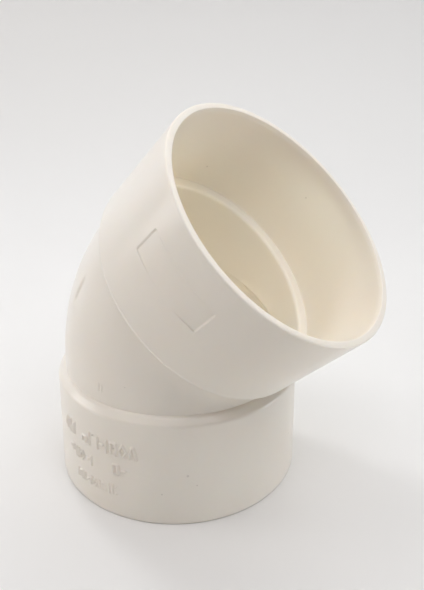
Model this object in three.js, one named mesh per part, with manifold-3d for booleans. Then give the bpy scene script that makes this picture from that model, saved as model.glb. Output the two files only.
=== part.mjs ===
// PVC-U 45 degree elbow, nominal 3 inch, plain socket both ends.
// One injection-moulded piece: two equal solvent-weld sockets joined by a
// short 45 degree bend. Millimetres, +Z up, standing on its lower mouth.
//
// Construction frame: the lower socket's axis is the line x = 0, y = 0, its
// mouth face is z = 0, and the upper socket leans 45 degrees toward +X in the
// XZ plane. The finished mesh is then slid along X so that the origin is the
// centre of the bottom of its bounding box.

import * as THREE from 'three';
import { mergeVertices } from 'three/addons/utils/BufferGeometryUtils.js';
import Module from 'manifold-3d';

// ---- driving dimensions (mm, degrees) -------------------------------------
const BEND_DEG = 45;            // turn of the fitting
const FACE_TO_CENTRE = 62.7;    // mouth face to the point where the axes meet

const SOCKET_ENTRY_R = 44.75;   // socket bore at its mouth, takes an 88.9 mm pipe
const SOCKET_STOP_R = 44.35;    // socket bore at the pipe stop (taper of the bore)
const SOCKET_DEPTH = 37.8;      // mouth face to pipe stop
const LEAD_IN_R = 45.15;        // chamfer at the mouth
const LEAD_IN_DEPTH = 1.6;
const STOP_CORNER_R = 0.22;     // inside corner between bore and pipe stop

const STOP_FLAT_R = 41.2;       // inner edge of the flat pipe stop
const STOP_EDGE_DEPTH = 1.75;   // rounding from the stop down into the bore
const BORE_UPPER_R = 40.2;      // waterway of the upper leg
const BORE_LOWER_R = 40.45;     // waterway of the lower leg: its core is a little fatter
const BORE_HEEL_R = 40.6;       // round tube that rounds off the outside of the turn
const MITRE_OFFSET = 0.8;       // the two cores meet this far above the mitre plane

const OD_MOUTH_R = 47.5;        // outside of the socket at the mouth
const OD_SHOULDER_R = 46.55;    // outside of the socket at the shoulder (draft)
const RIM_EDGE_R = 0.35;        // broken outer edge of the mouth
const SHOULDER_H = 43.55;       // mouth face to the root of the shoulder
const SHOULDER_AXIAL = 3.56;    // sloping shoulder, along the axis
const SHOULDER_EDGE_R = 2.2;    // rounding from the socket wall onto the slope
const SHOULDER_SLOPE_DEG = 44;  // slope of the shoulder's cone
const SHOULDER_BREAK = [44.68, 0.76];  // radius, and distance short of the root, where it flattens
const BARREL_R = 43.45;         // outside of the bend
const BEND_R = 44.5;            // centreline radius of the bend

const LOWER_AXIS_X = -15.133;   // where the lower socket's axis ends up

const SEG = 64;                 // facets round each leg
const BEND_STEPS = 18;

// ---- solids ---------------------------------------------------------------
const wasm = await Module();
wasm.setup();

function solid(geometry) {
  const g = geometry.clone();
  g.deleteAttribute('normal');
  g.deleteAttribute('uv');
  const m = mergeVertices(g, 1e-4);
  return new wasm.Manifold(new wasm.Mesh({
    numProp: 3,
    vertProperties: new Float32Array(m.attributes.position.array),
    triVerts: new Uint32Array(m.index.array),
  }));
}

function geometryOf(manifold) {
  const mesh = manifold.getMesh();
  const n = mesh.vertProperties.length / mesh.numProp;
  const pos = new Float32Array(n * 3);
  for (let i = 0; i < n; i++) {
    for (let k = 0; k < 3; k++) pos[3 * i + k] = mesh.vertProperties[mesh.numProp * i + k];
  }
  const g = new THREE.BufferGeometry();
  g.setAttribute('position', new THREE.BufferAttribute(pos, 3));
  g.setIndex(new THREE.BufferAttribute(new Uint32Array(mesh.triVerts), 1));
  g.computeVertexNormals();
  return g;
}

// A turned solid about +Z from (radius, height) pairs that start and end on the axis.
function turned(profile) {
  const g = new THREE.LatheGeometry(profile.map(([r, z]) => new THREE.Vector2(r, z)), SEG);
  g.rotateX(Math.PI / 2);
  return g;
}

// ---- where the upper leg sits ----------------------------------------------
const BEND = THREE.MathUtils.degToRad(BEND_DEG);
const HALF = BEND / 2;
const TANGENT = BEND_R * Math.tan(HALF);   // centre to the end of the curved part

// Carries a leg built on the lower mouth (mouth at z = 0, going up) onto the
// upper mouth: its mouth face outward, its inside toward the centre.
const upperLeg = new THREE.Matrix4()
  .makeTranslation(0, 0, FACE_TO_CENTRE)
  .multiply(new THREE.Matrix4().makeRotationY(BEND))
  .multiply(new THREE.Matrix4().makeTranslation(0, 0, FACE_TO_CENTRE))
  .multiply(new THREE.Matrix4().makeRotationX(Math.PI));

// ---- outside of a socket: drafted wall, broken edge, sloping shoulder -------
const socketOuter = [[0, 0], [OD_MOUTH_R - RIM_EDGE_R, 0]];
for (const a of [30, 60, 90]) {
  const t = THREE.MathUtils.degToRad(a);
  socketOuter.push([
    OD_MOUTH_R - RIM_EDGE_R + RIM_EDGE_R * Math.sin(t),
    RIM_EDGE_R * (1 - Math.cos(t)),
  ]);
}
for (const part of [0, 0.25, 0.5, 0.75, 1]) {
  const t = THREE.MathUtils.degToRad(part * SHOULDER_SLOPE_DEG);
  socketOuter.push([
    OD_SHOULDER_R - SHOULDER_EDGE_R * (1 - Math.cos(t)),
    SHOULDER_H - SHOULDER_AXIAL + SHOULDER_EDGE_R * Math.sin(t),
  ]);
}
socketOuter.push([SHOULDER_BREAK[0], SHOULDER_H - SHOULDER_BREAK[1]]);
socketOuter.push([BARREL_R, SHOULDER_H]);
socketOuter.push([0, SHOULDER_H]);
const socketGeometry = turned(socketOuter);

// ---- outside of the bend: one tube along a short arc ------------------------
class BendCurve extends THREE.Curve {
  constructor(lead) {
    super();
    this.lead = lead;                      // straight run into each socket
    this.arc = BEND_R * BEND;
    this.total = this.arc + 2 * lead;
    this.startZ = FACE_TO_CENTRE - TANGENT;
  }
  getPoint(t, target = new THREE.Vector3()) {
    const s = t * this.total - this.lead;
    if (s <= 0) return target.set(0, 0, this.startZ + s);
    const a = Math.min(s / BEND_R, BEND);
    target.set(BEND_R * (1 - Math.cos(a)), 0, this.startZ + BEND_R * Math.sin(a));
    if (s > this.arc) {
      const d = s - this.arc;
      target.x += d * Math.sin(BEND);
      target.z += d * Math.cos(BEND);
    }
    return target;
  }
}
function bendTube(radius, leadSteps) {
  const lead = BEND_R * BEND / BEND_STEPS * leadSteps;   // whole steps, so the arc's ends are sections
  const circle = new THREE.Shape().absarc(0, 0, radius, 0, 2 * Math.PI, false);
  return new THREE.ExtrudeGeometry(circle, {
    steps: BEND_STEPS + 2 * leadSteps,
    curveSegments: SEG / 2,
    bevelEnabled: false,
    extrudePath: new BendCurve(lead),
  });
}

// ---- inside of a leg: lead-in, tapered socket, pipe stop, waterway ----------
function legBore(boreR) {
  const stopR = SOCKET_STOP_R;
  const profile = [[0, -5], [LEAD_IN_R + 5 * (LEAD_IN_R - SOCKET_ENTRY_R) / LEAD_IN_DEPTH, -5],
    [SOCKET_ENTRY_R, LEAD_IN_DEPTH]];
  for (const a of [0, 45, 90]) {
    const t = THREE.MathUtils.degToRad(a);
    profile.push([
      stopR - STOP_CORNER_R + STOP_CORNER_R * Math.cos(t),
      SOCKET_DEPTH - STOP_CORNER_R + STOP_CORNER_R * Math.sin(t),
    ]);
  }
  for (const a of [0, 45, 90]) {
    const t = THREE.MathUtils.degToRad(a);
    profile.push([
      boreR + (STOP_FLAT_R - boreR) * (1 - Math.sin(t)),
      SOCKET_DEPTH + STOP_EDGE_DEPTH * (1 - Math.cos(t)),
    ]);
  }
  profile.push([boreR, FACE_TO_CENTRE + 30], [0, FACE_TO_CENTRE + 30]);
  return turned(profile);
}

// Half space on one side of the plane where the two waterways meet.
function mitreHalf(above, overlap) {
  const g = new THREE.BoxGeometry(300, 300, 200);
  g.translate(0, 0, above ? 100 - overlap : -100 + overlap);
  g.rotateY(HALF);
  g.translate(MITRE_OFFSET * Math.sin(HALF), 0, FACE_TO_CENTRE + MITRE_OFFSET * Math.cos(HALF));
  return g;
}

// ---- the one moulded piece ---------------------------------------------------
const lowerSocket = solid(socketGeometry);
const upperSocket = solid(socketGeometry.clone().applyMatrix4(upperLeg));
const outside = lowerSocket.add(upperSocket).add(solid(bendTube(BARREL_R, 2)));

// Each core is a straight pull, so the waterway creases where the two meet on
// the inside of the turn; a round tube limits them on the outside of the turn.
const lowerBore = solid(legBore(BORE_LOWER_R)).intersect(solid(mitreHalf(false, 0.05)));
const upperBore = solid(legBore(BORE_UPPER_R).applyMatrix4(upperLeg)).intersect(solid(mitreHalf(true, 0.05)));
const socketZone = turned([[0, -10], [60, -10], [60, SOCKET_DEPTH + 2.5], [0, SOCKET_DEPTH + 2.5]]);
const limit = solid(bendTube(BORE_HEEL_R, 4))
  .add(solid(socketZone))
  .add(solid(socketZone.clone().applyMatrix4(upperLeg)));
const body = outside.subtract(lowerBore.add(upperBore).intersect(limit));

const pvc = new THREE.MeshStandardMaterial({ color: 0xe4dfd3, roughness: 0.34, metalness: 0 });

const elbowBody = new THREE.Mesh(geometryOf(body), pvc);
elbowBody.name = 'elbow_body';
elbowBody.position.x = LOWER_AXIS_X;

const group = new THREE.Group();
group.add(elbowBody);

export default group;
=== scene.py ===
import math

import bpy
import numpy as np
from mathutils import Matrix, Vector


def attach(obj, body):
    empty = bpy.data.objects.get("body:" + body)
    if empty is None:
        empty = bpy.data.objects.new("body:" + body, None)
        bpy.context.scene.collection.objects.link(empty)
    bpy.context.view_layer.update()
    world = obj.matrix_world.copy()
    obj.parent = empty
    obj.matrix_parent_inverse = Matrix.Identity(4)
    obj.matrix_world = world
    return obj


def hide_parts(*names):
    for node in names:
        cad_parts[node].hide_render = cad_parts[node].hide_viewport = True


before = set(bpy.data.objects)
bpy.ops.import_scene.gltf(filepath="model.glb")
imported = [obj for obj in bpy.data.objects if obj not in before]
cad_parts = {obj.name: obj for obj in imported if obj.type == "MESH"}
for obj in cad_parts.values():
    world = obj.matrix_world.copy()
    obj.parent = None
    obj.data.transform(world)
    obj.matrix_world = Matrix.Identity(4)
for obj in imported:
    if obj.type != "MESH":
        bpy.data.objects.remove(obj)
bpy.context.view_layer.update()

# ---------------------------------------------------------------------------
# Sizes, in millimetres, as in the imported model: one moulded elbow whose lower
# socket stands on z = 0 and whose upper socket leans toward +X.
# ---------------------------------------------------------------------------
AX = -15.133
L = 62.7
TURN = math.radians(45.0)
BEND_R = 44.5
BARREL_R = 43.45
OD_MOUTH, OD_SHOULDER = 47.5, 46.55
RIM_ROUND = 0.58
SHOULDER_H, SHOULDER_AX = 43.55, 3.62
LOWER_DROP = 0.28                 # the lower shoulder sits this much nearer its mouth
LEAD_R, LEAD_D = 45.15, 1.6
ENTRY_R, STOP_R = 44.75, 44.35
DEPTH = 37.8
STOP_LIFT = 0.3                   # the stop face stands this much nearer the mouth than the taper's end
STOP_FLAT = 41.2
BORE_UP, BORE_LOW, BORE_HEEL = 40.2, 40.45, 40.6
TAN = BEND_R * math.tan(TURN / 2)
Z0 = L - TAN                      # where the straight leg ends and the bend begins
ARC = BEND_R * TURN
S_END = 2 * Z0 + ARC              # centreline length, mouth to mouth
S_MITRE = Z0 + BEND_R * math.radians(23.5)   # where the two cores met


def smooth(t):
    t = np.clip(t, 0.0, 1.0)
    return t * t * (3 - 2 * t)


def seg_dist(u, v, a, b, c, d):
    """Distance from points (u, v) to the segment (a, b)-(c, d)."""
    dx, dy = c - a, d - b
    n = dx * dx + dy * dy
    t = np.clip(((u - a) * dx + (v - b) * dy) / n, 0, 1) if n > 0 else 0.0
    return np.hypot(u - (a + t * dx), v - (b + t * dy))


def round_rect(u, v, cu, cv, hu, hv, r):
    """Signed distance to a rounded rectangle, negative inside."""
    qx = np.abs(u - cu) - (hu - r)
    qy = np.abs(v - cv) - (hv - r)
    return np.hypot(np.maximum(qx, 0), np.maximum(qy, 0)) + np.minimum(np.maximum(qx, qy), 0) - r


# ---------------------------------------------------------------------------
# Moulded marks: three rows of plain raised bars, dots and boxes. They carry no
# lettering; u is the arc in mm to the right of phi = -117.5 deg, v is height.
# ---------------------------------------------------------------------------
MARK_PHI0 = -117.5
MARK_R = 46.9
MARK_H = 0.60


def mark_strokes():
    s = []

    def bar(u, v0, v1, lean=0.0):
        s.append((u - lean / 2, v0, u + lean / 2, v1))

    def dash(u0, u1, v):
        s.append((u0, v, u1, v))

    def dot(u, v):
        s.append((u, v, u + 0.01, v))

    def box(u0, u1, v0, v1):
        bar(u0, v0, v1)
        bar(u1, v0, v1)
        dash(u0, u1, v0)
        dash(u0, u1, v1)

    def lozenge(u, v, hu, hv):
        s.append((u - hu, v, u, v + hv))
        s.append((u, v + hv, u + hu, v))
        s.append((u + hu, v, u, v - hv))
        s.append((u, v - hv, u - hu, v))

    # top row
    lo, hi = 26.2, 30.9
    lozenge(1.5, (lo + hi) / 2, 1.2, 2.3)
    bar(4.0, lo, hi)
    bar(5.6, lo, hi - 1.6)
    bar(7.1, lo, hi)
    box(12.4, 14.4, lo + 0.2, lo + 2.4)
    bar(16.0, lo, hi)
    dot(17.6, hi)
    bar(20.2, lo, hi)
    dash(21.4, 22.8, (lo + hi) / 2)
    bar(24.4, lo, hi)
    box(26.2, 28.4, lo, hi)
    dot(27.3, (lo + hi) / 2)
    lozenge(31.0, (lo + hi) / 2, 1.4, 2.35)
    bar(34.0, lo, hi, 1.0)
    bar(35.6, lo, hi, -1.0)
    # middle row
    lo, hi = 17.4, 21.2
    box(4.2, 5.8, lo + 1.6, hi)
    bar(7.6, lo, hi)
    bar(9.2, lo, hi)
    lozenge(11.6, (lo + hi) / 2, 1.2, 1.8)
    dash(13.9, 15.1, (lo + hi) / 2)
    bar(16.6, lo, hi)
    box(26.9, 28.9, lo + 0.9, hi + 1.1)
    dash(30.4, 31.9, (lo + hi) / 2 + 1.0)
    # bottom row
    lo, hi = 8.9, 12.1
    bar(8.4, lo, hi)
    box(9.8, 11.1, lo, hi)
    bar(12.6, lo, hi)
    dash(13.7, 14.7, (lo + hi) / 2)
    bar(16.0, lo, hi)
    lozenge(18.0, (lo + hi) / 2, 1.0, 1.6)
    bar(20.0, lo, hi)
    box(21.5, 22.9, lo, hi)
    bar(24.6, lo, hi + 0.5)
    bar(26.2, lo + 0.4, hi + 0.7)
    dot(27.6, lo + 0.5)
    dot(27.6, hi + 0.4)
    return s


STROKES = mark_strokes()


def lower_relief(phi_deg, z):
    """Relief on the outside of the lower socket (mm, outward)."""
    h = np.zeros_like(z)
    u = np.radians(phi_deg - MARK_PHI0) * MARK_R
    near = (u > -2) & (u < 40) & (z > 6) & (z < 34)
    if near.any():
        un, zn = u[near], z[near]
        d = np.full(un.shape, 9.0)
        for a, b, c, e in STROKES:
            d = np.minimum(d, seg_dist(un, zn, a, b, c, e))
        h[near] += MARK_H * smooth((0.44 - d) / 0.30)
    return h


def upper_relief(phi_deg, d):
    """Relief on the outside of the upper socket; d is the distance from its mouth."""
    # an insert in the mould, a little more curved than the socket: sunk at both ends, flush in the middle
    u = np.radians(phi_deg + 93.0) * 46.9
    r = round_rect(u, d, 0.0, 16.35, 15.35, 5.5, 0.7)
    sunk = 0.03 + np.where(u > 0, 0.40, 0.25) * smooth((np.abs(u) - 4.5) / 10.8)
    h = -sunk * smooth((0.12 - r) / 0.24)
    # a trace of flash along the edge next to the mouth
    h += 0.05 * np.exp(-((d - 10.75) / 0.17) ** 2) * smooth((15.4 - np.abs(u)) / 0.5)
    return h


def bend_relief(phi_deg, s):
    """The end of a second insert and a few pips on the outside of the bend."""
    h = np.zeros_like(s)
    u = np.radians(phi_deg + 94.4) * BARREL_R
    for du in (0.0, 1.35):
        h += 0.24 * smooth((0.45 - seg_dist(u, s, du, 47.9, du, 50.4)) / 0.34)
    w = np.radians((np.asarray(phi_deg) + 121.6 + 180) % 360 - 180) * BARREL_R
    for dw in (0.0, 1.2):
        h += 0.40 * smooth((0.5 - seg_dist(w, s, dw, 81.4, dw, 83.6)) / 0.4)
    # a second insert near the outline: a soft step down that fades out to the right
    v = np.radians((np.asarray(phi_deg) + 129.4 + 180) % 360 - 180) * BARREL_R
    h -= 0.55 * smooth(v / 1.3) * np.exp(-(np.maximum(v, 0) / 5.5) ** 2) * smooth((3.4 - np.abs(s - 67.4)) / 0.9)
    return h


# ---------------------------------------------------------------------------
# Surface grid: rings across the centreline, columns round it.
# ---------------------------------------------------------------------------
def frame_at(s):
    """Centre and the in-plane axis of the ring at centreline distance s."""
    s = np.asarray(s, float)
    a = np.clip((s - Z0) / BEND_R, 0, TURN)
    cx = BEND_R * (1 - np.cos(a))
    cz = np.where(s < Z0, s, Z0 + BEND_R * np.sin(a))
    over = np.maximum(s - (Z0 + ARC), 0)
    cx = cx + over * math.sin(TURN)
    cz = cz + over * math.cos(TURN)
    return cx, cz, np.cos(a), -np.sin(a)


def columns():
    fine = np.arange(-118.4, -72.0, 0.325)
    rest = np.linspace(-72.0, 222.6, 114)[:-1]
    near = np.linspace(222.6, 241.6, 31)[:-1]
    phi = np.concatenate([fine, rest, near])
    return phi


PHI = columns()
NC = len(PHI)


def leg_outer(rr=RIM_ROUND):
    """(distance from mouth, radius) of the broken outer edge of a mouth."""
    prof = [(0.0, OD_MOUTH - rr - 0.02)]
    for t in np.radians([18, 36, 54, 72, 90]):
        prof.append((rr * (1 - math.cos(t)), OD_MOUTH - rr + rr * math.sin(t)))
    return prof


def od(z):
    t = (z - RIM_ROUND) / (SHOULDER_H - SHOULDER_AX - RIM_ROUND)
    return OD_MOUTH + (OD_SHOULDER - OD_MOUTH) * t


def shoulder(drop=0.0):
    """Socket outside to bend: rounded edge, 45 degree cone, steeper toward the root."""
    arc = [(0.0, 0), (1.65, 43), (3.43, 46), (4.93, 70)]       # arc length, slope of the normal
    n = 22
    t = np.linspace(0, 4.93, n + 1)
    mid = np.radians(np.interp((t[1:] + t[:-1]) / 2, [a for a, _ in arc], [b for _, b in arc]))
    ds = 4.93 / n
    z = np.concatenate([[0], np.cumsum(ds * np.cos(mid))])
    r = np.concatenate([[0], np.cumsum(ds * np.sin(mid))])
    z = SHOULDER_H - SHOULDER_AX + z * SHOULDER_AX / z[-1]
    r = OD_SHOULDER - r * (OD_SHOULDER - BARREL_R - 0.12) / r[-1]
    out = list(zip(z - drop, r))
    # soft root where the shoulder runs into the bend
    out.append((SHOULDER_H - drop + 0.05, BARREL_R + 0.05))
    out.append((SHOULDER_H - drop + 0.16, BARREL_R + 0.01))
    out.append((SHOULDER_H - drop + 0.30, BARREL_R))
    return out


def rings():
    """Every ring as (s, radius array over PHI)."""
    out = []
    one = np.ones(NC)

    def put(s, r):
        out.append((s, r * one if np.isscalar(r) else r))

    # lower socket, outside, from its mouth face up
    for z, r in leg_outer(0.35):
        put(z, r)
    zs = np.unique(np.concatenate([
        np.linspace(0.9, 7.6, 6), np.arange(8.0, 13.6, 0.26), np.arange(14.0, 16.9, 0.7),
        np.arange(16.9, 23.2, 0.26), np.arange(23.6, 25.4, 0.6), np.arange(25.5, 31.7, 0.26),
        np.linspace(32.2, SHOULDER_H - SHOULDER_AX - LOWER_DROP - 0.35, 6)]))
    for z in zs:
        put(z, od(z) + lower_relief(PHI, np.full(NC, z)))
    for z, r in shoulder(LOWER_DROP):
        put(z, r)
    # bend
    ss = np.unique(np.concatenate([
        np.arange(44.3, 46.9, 0.6), np.arange(47.0, 51.2, 0.26),
        np.linspace(51.8, S_END - SHOULDER_H - 0.7, 22)]))
    for s in ss:
        put(s, BARREL_R + bend_relief(PHI, np.full(NC, s)))
    # upper socket, outside, up to its mouth
    for z, r in reversed(shoulder()):
        put(S_END - z, r)
    ds = np.unique(np.concatenate([
        np.linspace(SHOULDER_H - SHOULDER_AX - 0.35, 23.0, 9), np.arange(22.4, 21.3, -0.13),
        np.linspace(20.8, 12.0, 8), np.arange(11.5, 10.1, -0.13), np.linspace(9.6, 0.9, 8)]))[::-1]
    for d in ds:
        put(S_END - d, od(d) + upper_relief(PHI, np.full(NC, d)))
    for z, r in reversed(leg_outer()):
        put(S_END - z, r)

    # upper mouth face, lead-in and bore, going in
    def inner(leg, mirror):
        seq = []
        seq.append((0.0, LEAD_R + 0.16))
        for t in np.radians([25, 50, 75]):
            seq.append((0.14 * (1 - math.cos(t)), LEAD_R + 0.16 - 0.14 * math.sin(t)))
        seq.append((0.30, LEAD_R - 0.06))
        seq.append((LEAD_D - 0.25, ENTRY_R + 0.06))
        seq.append((LEAD_D + 0.05, ENTRY_R))
        for d in np.linspace(3.0, DEPTH - 0.9, 8):
            seq.append((d, ENTRY_R + (STOP_R - ENTRY_R) * (d - LEAD_D) / (DEPTH - LEAD_D)))
        for t in np.radians([0, 30, 60, 90]):
            seq.append((DEPTH - STOP_LIFT - 0.22 + 0.22 * math.sin(t), STOP_R - 0.22 + 0.22 * math.cos(t)))
        seq.append((DEPTH - STOP_LIFT + 0.05, 43.0))
        seq.append((DEPTH - STOP_LIFT + 0.12, 42.0))
        b = BORE_LOW if leg == "lower" else BORE_UP
        for t in np.radians([0, 18, 36, 54, 72, 90]):
            seq.append((DEPTH - STOP_LIFT + 0.15 + 1.5 * (1 - math.cos(t)), b + (STOP_FLAT - b) * (1 - math.sin(t))))
        return seq

    for d, r in inner("upper", True):
        put(S_END - d, r)

    def cyl_radius(s, r0, from_upper):
        """Radius, in the ring at s, of a straight core of radius r0, limited by the round heel."""
        x = (S_END - s) if from_upper else s
        a = np.clip((x - Z0) / BEND_R, 0, None)
        cx = BEND_R * (1 - math.cos(a))
        ca = math.cos(a)
        cp = np.cos(np.radians(PHI))
        sp = np.sin(np.radians(PHI))
        A = (cp * ca) ** 2 + sp ** 2
        B = 2 * cx * cp * ca
        Cq = cx * cx - r0 * r0
        rho = (-B + np.sqrt(B * B - 4 * A * Cq)) / (2 * A)
        k = 0.35   # soft blend from core to heel
        m = 0.5 * (rho + BORE_HEEL - np.sqrt((rho - BORE_HEEL) ** 2 + k * k * 0.05))
        return m

    steps_up = np.linspace(S_END - DEPTH - 2.6, S_MITRE + 0.5, 17)
    for s in steps_up:
        put(s, cyl_radius(s, BORE_UP, True))
    put(S_MITRE + 0.16, cyl_radius(S_MITRE + 0.16, BORE_UP, True))
    put(S_MITRE + 0.06, cyl_radius(S_MITRE + 0.06, BORE_UP, True) + 0.16)
    put(S_MITRE - 0.06, cyl_radius(S_MITRE - 0.06, BORE_LOW, False) + 0.06)
    put(S_MITRE - 0.18, cyl_radius(S_MITRE - 0.18, BORE_LOW, False))
    steps_dn = np.linspace(S_MITRE - 0.6, DEPTH + 2.6, 17)
    for s in steps_dn:
        put(s, cyl_radius(s, BORE_LOW, False))
    for d, r in reversed(inner("lower", False)):
        put(d, r)
    return out


def build_body():
    R = rings()
    n = len(R)
    s = np.array([q[0] for q in R])
    r = np.array([q[1] for q in R])
    cx, cz, ex, ez = frame_at(s)
    cp = np.cos(np.radians(PHI))[None, :]
    sp = np.sin(np.radians(PHI))[None, :]
    X = cx[:, None] + r * cp * ex[:, None] + AX
    Y = r * sp
    Z = cz[:, None] + r * cp * ez[:, None]
    Y = np.clip(Y, -OD_MOUTH + 0.005, OD_MOUTH - 0.005)
    co = np.stack([X, Y, Z], 2).reshape(-1, 3) / 1000.0
    i = np.arange(n)[:, None]
    j = np.arange(NC)[None, :]
    i2 = (i + 1) % n
    j2 = (j + 1) % NC
    quads = np.stack([i * NC + j, i * NC + j2, i2 * NC + j2, i2 * NC + j], 2).reshape(-1, 4)
    me = bpy.data.meshes.new("elbow_body_fine")
    me.vertices.add(len(co))
    me.vertices.foreach_set("co", co.astype(np.float32).ravel())
    me.loops.add(len(quads) * 4)
    me.loops.foreach_set("vertex_index", quads.astype(np.int32).ravel())
    me.polygons.add(len(quads))
    me.polygons.foreach_set("loop_start", np.arange(0, len(quads) * 4, 4, dtype=np.int32))
    me.polygons.foreach_set("loop_total", np.full(len(quads), 4, np.int32))
    me.polygons.foreach_set("use_smooth", np.ones(len(quads), bool))
    me.update(calc_edges=True)
    me.validate()
    ob = bpy.data.objects.new("elbow_body_fine", me)
    bpy.context.scene.collection.objects.link(ob)
    return ob


def on_outside(phi, z, r):
    """Point on the outside of the lower leg (mm)."""
    a = math.radians(phi)
    return (AX + r * math.cos(a), r * math.sin(a), z)


def in_mouth(phi, d):
    """Point on the bore of the upper socket, d behind its mouth (mm)."""
    a = math.radians(phi)
    r = ENTRY_R + (STOP_R - ENTRY_R) * (d - LEAD_D) / (DEPTH - LEAD_D)
    x, z = L * math.sin(TURN) - d * math.sin(TURN), L + (L - d) * math.cos(TURN)
    return (AX + x + r * math.cos(a) * math.cos(TURN), r * math.sin(a), z - r * math.cos(a) * math.sin(TURN))


SPECKS = [
    (on_outside(-51.3, 20.8, float(od(20.8))), 0.62),
    (on_outside(-47.4, 16.5, float(od(16.5))), 0.42),
    (on_outside(-62.5, 13.0, float(od(13.0))), 0.42),
    (on_outside(9.0, 18.8, float(od(18.8))), 0.45),
    ((-6.8, -42.8, 52.7), 0.30),
    (in_mouth(146.9, 28.1), 0.50),
    (in_mouth(96.9, 13.2), 0.42),
    (in_mouth(18.0, 30.5), 0.34),
    (on_outside(63.0, 26.0, float(od(26.0))), 0.40),
    (on_outside(148.0, 11.5, float(od(11.5))), 0.45),
]

body = build_body()

# ---------------------------------------------------------------------------
# Material: rigid PVC, warm off-white, satin gloss
# ---------------------------------------------------------------------------
def srgb(r, g, b):
    def f(c):
        c /= 255.0
        return c / 12.92 if c <= 0.04045 else ((c + 0.055) / 1.055) ** 2.4
    return (f(r), f(g), f(b), 1.0)


def pvc_material():
    m = bpy.data.materials.new("pvc_offwhite")
    m.use_nodes = True
    nt = m.node_tree
    nt.nodes.clear()
    out = nt.nodes.new("ShaderNodeOutputMaterial")
    bs = nt.nodes.new("ShaderNodeBsdfPrincipled")
    nt.links.new(bs.outputs[0], out.inputs[0])
    bs.inputs["IOR"].default_value = 1.53
    bs.inputs["Coat Weight"].default_value = 0.22
    bs.inputs["Coat Roughness"].default_value = 0.19
    bs.inputs["Coat IOR"].default_value = 1.5
    bs.inputs["Subsurface Weight"].default_value = 0.25
    bs.inputs["Subsurface Scale"].default_value = 0.0015
    bs.inputs["Subsurface Radius"].default_value = (1.0, 0.85, 0.65)
    tc = nt.nodes.new("ShaderNodeTexCoord")

    def noise(scale, detail, rough=0.5):
        n = nt.nodes.new("ShaderNodeTexNoise")
        n.inputs["Scale"].default_value = scale
        n.inputs["Detail"].default_value = detail
        n.inputs["Roughness"].default_value = rough
        nt.links.new(tc.outputs["Object"], n.inputs["Vector"])
        return n.outputs["Fac"]

    def ramp(fac, stops):
        r = nt.nodes.new("ShaderNodeValToRGB")
        r.color_ramp.elements[0].position, r.color_ramp.elements[0].color = stops[0]
        r.color_ramp.elements[1].position, r.color_ramp.elements[1].color = stops[-1]
        nt.links.new(fac, r.inputs["Fac"])
        return r.outputs["Color"]

    def value(fac, lo, hi):
        r = nt.nodes.new("ShaderNodeMapRange")
        r.inputs["From Min"].default_value = 0.3
        r.inputs["From Max"].default_value = 0.7
        r.inputs["To Min"].default_value = lo
        r.inputs["To Max"].default_value = hi
        nt.links.new(fac, r.inputs["Value"])
        return r.outputs["Result"]

    # faint clouds of warmer and cooler resin
    col = ramp(noise(19.0, 2.0), [(0.30, (0.944, 0.866, 0.766, 1)), (0.70, (0.956, 0.902, 0.812, 1))])
    # specks of burnt resin
    dark = None
    for (x, y, z), r in SPECKS:
        d = nt.nodes.new("ShaderNodeVectorMath")
        d.operation = "DISTANCE"
        nt.links.new(tc.outputs["Object"], d.inputs[0])
        d.inputs[1].default_value = (x / 1000, y / 1000, z / 1000)
        k = nt.nodes.new("ShaderNodeMapRange")
        k.interpolation_type = "SMOOTHSTEP"
        k.inputs["From Min"].default_value = r * 0.45 / 1000
        k.inputs["From Max"].default_value = r / 1000
        k.inputs["To Min"].default_value = 0.24
        k.inputs["To Max"].default_value = 0.0
        nt.links.new(d.outputs["Value"], k.inputs["Value"])
        if dark is None:
            dark = k.outputs["Result"]
        else:
            mx = nt.nodes.new("ShaderNodeMath")
            mx.operation = "MAXIMUM"
            nt.links.new(dark, mx.inputs[0])
            nt.links.new(k.outputs["Result"], mx.inputs[1])
            dark = mx.outputs[0]
    mix = nt.nodes.new("ShaderNodeMix")
    mix.data_type = "RGBA"
    nt.links.new(dark, mix.inputs[0])
    nt.links.new(col, mix.inputs[6])
    mix.inputs[7].default_value = (0.24, 0.19, 0.14, 1)
    nt.links.new(mix.outputs[2], bs.inputs["Base Color"])
    # satin gloss, uneven from the mould's polish
    nt.links.new(value(noise(55.0, 4.0), 0.285, 0.34), bs.inputs["Roughness"])
    # slow waviness of the moulded skin, and its fine grain
    b1 = nt.nodes.new("ShaderNodeBump")
    b1.inputs["Strength"].default_value = 0.03
    b1.inputs["Distance"].default_value = 0.0006
    nt.links.new(noise(140.0, 2.0), b1.inputs["Height"])
    b2 = nt.nodes.new("ShaderNodeBump")
    b2.inputs["Strength"].default_value = 0.02
    b2.inputs["Distance"].default_value = 0.00012
    nt.links.new(noise(1700.0, 2.0, 0.6), b2.inputs["Height"])
    nt.links.new(b1.outputs[0], b2.inputs["Normal"])
    nt.links.new(b2.outputs[0], bs.inputs["Normal"])
    return m


PVC = pvc_material()
body.data.materials.append(PVC)
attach(body, "root")
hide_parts("elbow_body")

# ---------------------------------------------------------------------------
# Stage
# ---------------------------------------------------------------------------
def plain(name, colour, rough):
    m = bpy.data.materials.new(name)
    m.use_nodes = True
    b = m.node_tree.nodes["Principled BSDF"]
    b.inputs["Base Color"].default_value = colour
    b.inputs["Roughness"].default_value = rough
    return m


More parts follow.
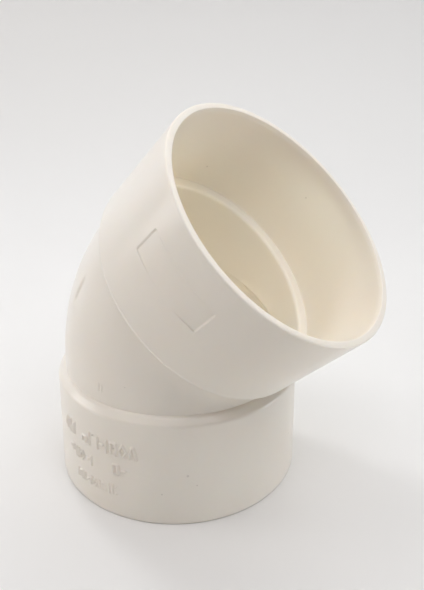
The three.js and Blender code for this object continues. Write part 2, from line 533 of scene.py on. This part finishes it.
def build_stage():
    """A pale sweep: floor, wide cove, backdrop."""
    low = -0.00022                     # a hair under the mouth: nothing sits perfectly flat
    prof = [(-2.2, low), (0.20, low)]
    rad = 0.20
    for t in np.radians(np.arange(5, 91, 5)):
        prof.append((0.20 + rad * math.sin(t), low + rad * (1 - math.cos(t))))
    prof.append((0.20 + rad, 1.2))
    verts, faces = [], []
    ang = math.atan2(0.7765, -0.486)   # away from the camera, on the floor
    dx, dy = math.cos(ang), math.sin(ang)
    for d, h in prof:
        for w in (-3.0, 3.0):
            verts.append((d * dx - w * dy, d * dy + w * dx, h))
    for k in range(len(prof) - 1):
        faces.append((2 * k, 2 * k + 1, 2 * k + 3, 2 * k + 2))
    me = bpy.data.meshes.new("sweep")
    me.from_pydata(verts, [], faces)
    me.polygons.foreach_set("use_smooth", [True] * len(faces))
    ob = bpy.data.objects.new("sweep", me)
    bpy.context.scene.collection.objects.link(ob)
    ob.data.materials.append(plain("stage_pale", (0.86, 0.853, 0.836, 1), 0.6))
    ob.visible_shadow = False      # lights behind the backdrop reach the object
    return ob


sweep = build_stage()

# ---------------------------------------------------------------------------
# Light
# ---------------------------------------------------------------------------
def area(name, pos, target, size, power, colour=(1, 1, 1), size_y=None, group=None):
    li = bpy.data.lights.new(name, "AREA")
    li.shape = "RECTANGLE"
    li.size = size
    li.size_y = size_y or size
    li.energy = power
    li.color = colour
    ob = bpy.data.objects.new(name, li)
    ob.location = pos
    ob.visible_camera = False
    d = Vector(target) - Vector(pos)
    ob.rotation_euler = d.to_track_quat("-Z", "Y").to_euler()
    bpy.context.scene.collection.objects.link(ob)
    return ob


TGT = Vector((0.0, 0.0, 0.07))
AWAY = Vector((-0.5305, 0.8477, 0.0))
SIDE = Vector((0.8477, 0.5305, 0.0))


def around(az, el, r=0.9):
    a, e = math.radians(az), math.radians(el)
    return TGT + (AWAY * math.cos(a) + SIDE * math.sin(a)) * math.cos(e) * r + Vector((0, 0, math.sin(e) * r))


# panels of a white light tent: (azimuth from behind the object, elevation, side, watts, tint)
TENT = [
    (135, 55, 0.36, 1.940, (0.996, 0.996, 1.008)),
    (270, 14, 0.42, 1.934, (1.025, 0.996, 0.979)),
    (90, -4, 0.25, 1.220, (0.943, 1.003, 1.054)),
    (180, 68, 0.42, 1.203, (0.993, 0.993, 1.014)),
    (270, 68, 0.42, 0.961, (0.999, 0.995, 1.006)),
    (45, 55, 0.36, 1.012, (0.978, 1.002, 1.02)),
    (315, 14, 0.42, 0.920, (0.833, 0.975, 1.192)),
    (328, 65, 0.12, 0.991, (0.992, 1.002, 1.006)),
    (0, 27, 0.36, 0.300, (1.019, 0.951, 1.03)),
    (90, 55, 0.36, 0.646, (0.98, 0.994, 1.027)),
    (225, 42, 0.42, 0.527, (1.054, 0.974, 0.972)),
    (0, 68, 0.42, 0.248, (0.964, 1.006, 1.03)),
    (180, 55, 0.36, 0.409, (1.016, 0.976, 1.009)),
    (120, 27, 0.36, 0.093, (1.247, 0.883, 0.87)),
]
for k, (az, el, side, watts, tint) in enumerate(TENT):
    area("tent_%02d" % k, around(az, el), TGT, side, watts, tint)

# light that enters by the upper mouth: small discs just inside it, facing in
# (distance off its axis, angle round it, radius, spread, watts, tint)
MOUTH = Vector((0.0292, 0.0, 0.1070))
MOUTH_AXIS = Vector((0.7071, 0.0, 0.7071))
MOUTH_DOWN = Vector((0.7071, 0.0, -0.7071))
FILL = [
    (0.022, 270, 0.018, 70, 0.00555, (1.087, 1.071, 0.843)),
    (0.022, 180, 0.018, 70, 0.00203, (1.272, 1.094, 0.634)),
    (0.022, 90, 0.018, 180, 0.00158, (0.93, 1.06, 1.01)),
    (0.022, 90, 0.018, 70, 0.00145, (0.841, 1.034, 1.125)),
]
for k, (off, ang, rad, spread, watts, tint) in enumerate(FILL):
    a = math.radians(ang)
    c = MOUTH - MOUTH_AXIS * 0.003 + (MOUTH_DOWN * math.cos(a) + Vector((0, 1, 0)) * math.sin(a)) * off
    ob = area("fill_%02d" % k, c, c - MOUTH_AXIS, rad * 2, watts, tint)
    ob.data.shape = "DISK"
    ob.data.spread = math.radians(spread)

world = bpy.data.worlds.new("studio")
bpy.context.scene.world = world
world.use_nodes = True
bg = world.node_tree.nodes["Background"]
bg.inputs[0].default_value = (1.0, 0.995, 0.985, 1)
bg.inputs[1].default_value = 0.002

# ---------------------------------------------------------------------------
# Camera
# ---------------------------------------------------------------------------
cam = bpy.data.cameras.new("camera")
cam.sensor_fit = "AUTO"
cam.sensor_width = 36.0
cam.lens = 662.9 / 590.0 * 36.0
cam.clip_start = 0.01
cam.clip_end = 20
cam_ob = bpy.data.objects.new("camera", cam)
X = Vector((0.8464287667, 0.5324759244, 0.0052661929))
D = Vector((0.2176821886, -0.3369703649, -0.9160051517))
Zf = Vector((-0.4859761389, 0.7764794673, -0.4011319350))
rot = Matrix(((X.x, -D.x, -Zf.x), (X.y, -D.y, -Zf.y), (X.z, -D.z, -Zf.z)))
cam_ob.matrix_world = Matrix.Translation(Vector((0.13443 + AX / 1000, -0.18947, 0.17052))) @ rot.to_4x4()
bpy.context.scene.collection.objects.link(cam_ob)
bpy.context.scene.camera = cam_ob

bpy.context.scene.view_settings.view_transform = "Standard"
